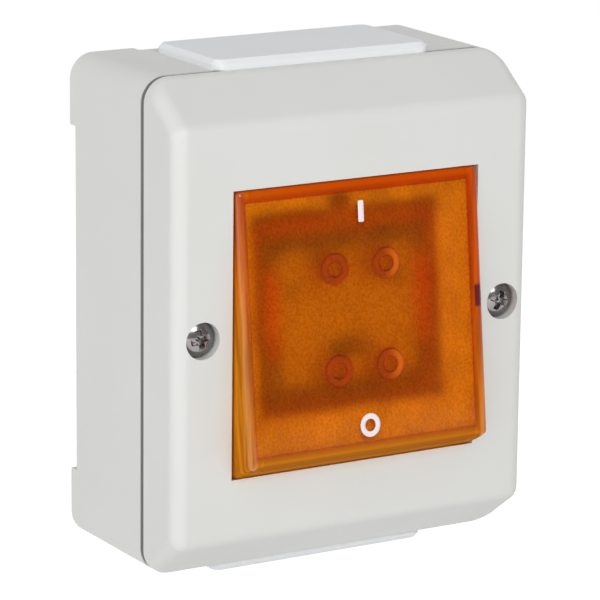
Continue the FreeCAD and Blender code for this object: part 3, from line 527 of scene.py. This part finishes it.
def carrier_rib(side):
    """Low rib along the carrier's side, left for -1 and right for 1: a stadium outline, a half circle at
    each end of a straight part, carried outwards from the carrier's front."""
    turn = full_turn(48)
    size = np.array([0.0, 1.0, 1.0, 0.0])[:, None]
    inner, outer = RIB_DEPTHS
    depth = np.array([outer, outer, inner, inner])[:, None] + 0 * turn
    straight = (RIB_ENDS[1] - RIB_ENDS[0]) / 2 - RIB_HALF
    x = side * RIB_MIDDLE + size * RIB_HALF * np.cos(turn)
    z = sum(RIB_ENDS) / 2 + size * (RIB_HALF * np.sin(turn) + straight * np.sign(np.sin(turn)))
    return lay_grid("rib_left" if side < 0 else "rib_right", on_rocker(x, depth, z)[:, ::-1])


def cross_depth(x, z, size):
    """Depth of a cross recess at x, z from the axis of a screw whose head has the radius size.

    Each wing is a trench with steep walls and a sloping end, and a blunt cone joins them."""
    half, wall, reach, slope = 0.14 * size, 0.05 * size, 0.6 * size, 0.24 * size
    wing_depth, cone_depth, cone_reach, cone_blunt = 0.36 * size, 0.5 * size, 0.42 * size, 1.15
    depth = np.zeros_like(x)
    for along, off in ((np.abs(x), np.abs(z)), (np.abs(z), np.abs(x))):
        trench = np.clip((half + wall - off) / wall, 0, 1) * np.clip((reach - along) / slope, 0, 1)
        depth = np.maximum(depth, wing_depth * trench)
    cone = np.clip(cone_blunt - (np.abs(x) + np.abs(z)) / cone_reach, 0, 1)
    return np.maximum(depth, cone_depth * cone)


def screw_head(turn, head, top):
    """Rows of radius and rise from the middle of the head outwards and down its side.

    The head is a dome, a cap of a sphere, less the cross recess, with a quarter circle as its edge."""
    dome = DOME_SHARE * (top - SCREW_SEAT)
    edge = EDGE_SHARE * head
    sphere = (head ** 2 + dome ** 2) / (2 * dome)
    radius = np.linspace(0, head - edge, HEAD_ROWS)[:, None] + 0 * turn
    rise = top - sphere + np.sqrt(sphere ** 2 - radius ** 2)
    rise = rise - cross_depth(radius * np.cos(turn), radius * np.sin(turn), head)
    bend = np.linspace(0, np.pi / 2, EDGE_ROWS)[:, None]
    edge_radius = head - edge + edge * np.sin(bend) + 0 * turn
    edge_rise = top - dome - edge + edge * np.cos(bend) + 0 * turn
    return [radius, edge_radius], [rise, edge_rise]


def screw_shank(turn, tip):
    """Rows of radius and rise along the threaded shank to its tip.

    The radius follows a helix, shank - depth * ridge(along / pitch - turn / 360 degrees), and narrows
    at the tip."""
    turns = (SCREW_SEAT - tip) / SCREW_PITCH
    along = np.linspace(0.02, 1.0, int(turns * ROWS_PER_TURN))[:, None]
    phase = (along * turns - turn / (2 * np.pi)) % 1.0
    ridge = np.abs(2 * phase - 1)
    fade = np.clip(along * turns - PLAIN_TURNS, 0, 1) * np.clip((1 - along) * turns, 0, 1)
    taper = np.clip((1 - along) * turns / TIP_TURNS, 0, 1) * (1 - TIP_SHARE) + TIP_SHARE
    radius = SCREW_SHANK * taper - THREAD_DEPTH * ridge * fade
    rise = SCREW_SEAT - (SCREW_SEAT - tip) * along + 0 * turn
    return [radius, 0 * turn], [rise, rise[-1:]]


def cover_screw(side):
    """Pan-head screw in the place and size of the plain one on that side, turned its own way.

    Its rows run from the middle of the head outwards, down its side, under it and along the shank,
    each at a radius and a rise about an axis along Y."""
    node = "cover_screw_" + side
    low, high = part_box(node)
    head = (high.x - low.x) / 2
    turn = full_turn(SCREW_COLUMNS)
    head_radius, head_rise = screw_head(turn, head, -low.y)
    shank_radius, shank_rise = screw_shank(turn, -high.y)
    neck_radius = np.array([head, SCREW_SHANK])[:, None] + 0 * turn
    neck_rise = SCREW_SEAT + 0 * neck_radius
    radius = np.vstack([*head_radius, neck_radius, *shank_radius])
    rise = np.vstack([*head_rise, neck_rise, *shank_rise])
    turned = turn + math.radians(SCREWS_TURNED[side])
    x = (low.x + high.x) / 2 + radius * np.cos(turned)
    z = (low.z + high.z) / 2 + radius * np.sin(turned)
    piece = lay_grid(node + "_cross", np.stack([x, -rise, z], -1))
    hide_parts(node)
    return piece


def softbox(name, place, size, watts, mirrored):
    """Rectangular lamp that faces the origin. Gloss shows it only if it is mirrored."""
    lamp = bpy.data.lights.new(name, "AREA")
    lamp.shape = "RECTANGLE"
    lamp.size, lamp.size_y = size
    lamp.energy = watts
    box = bpy.data.objects.new(name, lamp)
    box.location = place
    box.rotation_euler = Vector(place).to_track_quat("Z", "Y").to_euler()
    box.visible_glossy = mirrored
    bpy.context.scene.collection.objects.link(box)


def background(tree, ray_kinds):
    """1 on the rays of the named kinds, by which the backdrop is seen, and 0 on those that carry light."""
    path = add(tree, "LightPath")
    seen = path.outputs[ray_kinds[0]]
    for kind in ray_kinds[1:]:
        seen = add(tree, "Math", (seen, path.outputs[kind]), operation="MAXIMUM")
    return seen


def studio_floor():
    """Pale paper that seems white, with the part's shadow on it."""
    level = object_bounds()[0][2] - FLOOR_GAP
    corners = [(x * FLOOR_HALF, y * FLOOR_HALF, level) for x, y in ((-1, -1), (1, -1), (1, 1), (-1, 1))]
    mesh = bpy.data.meshes.new("floor")
    mesh.from_pydata(corners, [], [(0, 1, 2, 3)])
    floor = bpy.data.objects.new("floor", mesh)
    bpy.context.scene.collection.objects.link(floor)
    material, tree = blank("floor_paper")
    direct = background(tree, ("Is Camera Ray", "Is Glossy Ray", "Is Transmission Ray"))
    lift = add(tree, "Math", (direct, FLOOR_LIFT), operation="MULTIPLY")
    paper = add(tree, "BsdfDiffuse", {"Color": linear("f4f4f4")})
    glow = add(tree, "Emission", {"Color": linear("ffffff"), "Strength": lift})
    both = add(tree, "AddShader", (paper, glow))
    add(tree, "OutputMaterial", {"Surface": both})
    mesh.materials.append(material)


def studio_world():
    """White surroundings, with a dark grey screen in front on the right, which the rocker mirrors.

    Gloss and glass show them at full level, and they light the part at a lower one."""
    world = bpy.data.worlds.new("studio")
    world.use_nodes = True
    tree = world.node_tree
    tree.nodes.clear()
    way = add(tree, "TexCoord").outputs["Generated"]
    toward = add(tree, "VectorMath", (way, SCREEN_SIDE), operation="DOT_PRODUCT").outputs["Value"]
    level = add(tree, "MapRange", (toward, *SCREEN_EDGE, 1.0, SCREEN_LEVEL),
                interpolation_type="SMOOTHSTEP")
    mirrored = background(tree, ("Is Glossy Ray", "Is Transmission Ray"))
    bright = add(tree, "MapRange", {"Value": mirrored, "To Min": WORLD_LEVEL, "To Max": 1.0})
    level = add(tree, "Math", (level, bright), operation="MULTIPLY")
    level = add(tree, "MapRange", {"Value": background(tree, ("Is Camera Ray",)), "To Min": level,
                                   "To Max": 1.0})
    sky = add(tree, "Background", {"Color": linear("ffffff"), "Strength": level})
    add(tree, "OutputWorld", {"Surface": sky})
    bpy.context.scene.world = world


def camera():
    """Camera that sees the part as the photograph does."""
    data = bpy.data.cameras.new("camera")
    data.lens = LENS
    data.sensor_width = SENSOR
    eye = bpy.data.objects.new("camera", data)
    eye.location = CAMERA_PLACE
    eye.rotation_euler = [math.radians(angle) for angle in CAMERA_TURN]
    bpy.context.scene.collection.objects.link(eye)
    bpy.context.scene.camera = eye


FINISHES = {
    # Light grey ABS with a fine satin texture: wide, soft highlights
    "enclosure_plastic": moulded_plastic(
        "satin_abs", "dadbd8", "d5d6d2",
        roughness=0.5, grain=0.25 * MM, relief=0.004 * MM, ior=1.54),
    # Polypropylene: whiter and a little duller than the box
    "entry_plastic": moulded_plastic(
        "white_polypropylene", "eaeced", "e6e8ea",
        roughness=0.6, grain=0.3 * MM, relief=0.003 * MM, ior=1.49),
    # Undyed polyamide: pale straw, satin
    "carrier_plastic": moulded_plastic(
        "natural_polyamide", "c4b496", "b0a080",
        roughness=0.5, grain=0.4 * MM, relief=0.006 * MM, ior=1.53),
    # Glass-filled polyamide: satin, and red, for the red-brown of the photograph's frame behind the amber
    "mechanism_plastic": moulded_plastic(
        "filled_polyamide", "b43a3a", "9c3030",
        roughness=0.5, grain=0.3 * MM, relief=0.008 * MM, ior=1.55),
    "seal_rubber": moulded_rubber(),
    "amber_plastic": amber_polycarbonate(),
    "lamp_glass": lamp_glass(),
    # Zinc plating: light and dull on the pressed sheet, darker and shinier on the screws
    "zinc_steel": smooth_metal("zinc_sheet", "b9bbbd", "a2a4a6", roughness=0.35),
    "screw_steel": smooth_metal("zinc_screw", "a09c9b", "827e7e", roughness=0.18),
    # Drawn stainless wire, and bare copper and brass strip: smooth, each in its own colour
    "spring_steel": smooth_metal("spring_wire", "a8a8aa", "8f8f91", roughness=0.22),
    "contact_copper": smooth_metal("contact_copper", "d9a184", "c48c70", roughness=0.3),
    "terminal_brass": smooth_metal("terminal_brass", "d6bd84", "c4a970", roughness=0.28),
}


def finish_with(piece, material):
    """Gives the whole piece one material."""
    piece.data.materials.clear()
    piece.data.materials.append(material)


slots = {part["node"]: part["material_slot"] for part in frame["record"]["subparts"]}
for node, piece in frame["nodes"].items():
    finish_with(piece, FINISHES[slots[node]])

ink = printed_ink()
for mark in (ring_mark(), bar_mark()):
    finish_with(mark, ink)
    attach(mark, "rocker")
# Red plastic whose red is a painted glow, as if light were caught in it: the strips look redder than the
# carrier beside them
edge_lit = moulded_plastic(
    "edge_lit_polycarbonate", "d8200c", "bc1808",
    roughness=0.5, grain=0.4 * MM, relief=0.006 * MM, ior=1.585)
for side in (-1, 1):
    rib = carrier_rib(side)
    finish_with(rib, edge_lit)
    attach(rib, "rocker")
for side in ("left", "right"):
    piece = cover_screw(side)
    finish_with(piece, FINISHES["screw_steel"])
    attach(piece, "enclosure")

studio_floor()
studio_world()
for lamp in LAMPS:
    softbox(*lamp)
camera()
bpy.context.scene.view_settings.view_transform = "Standard"
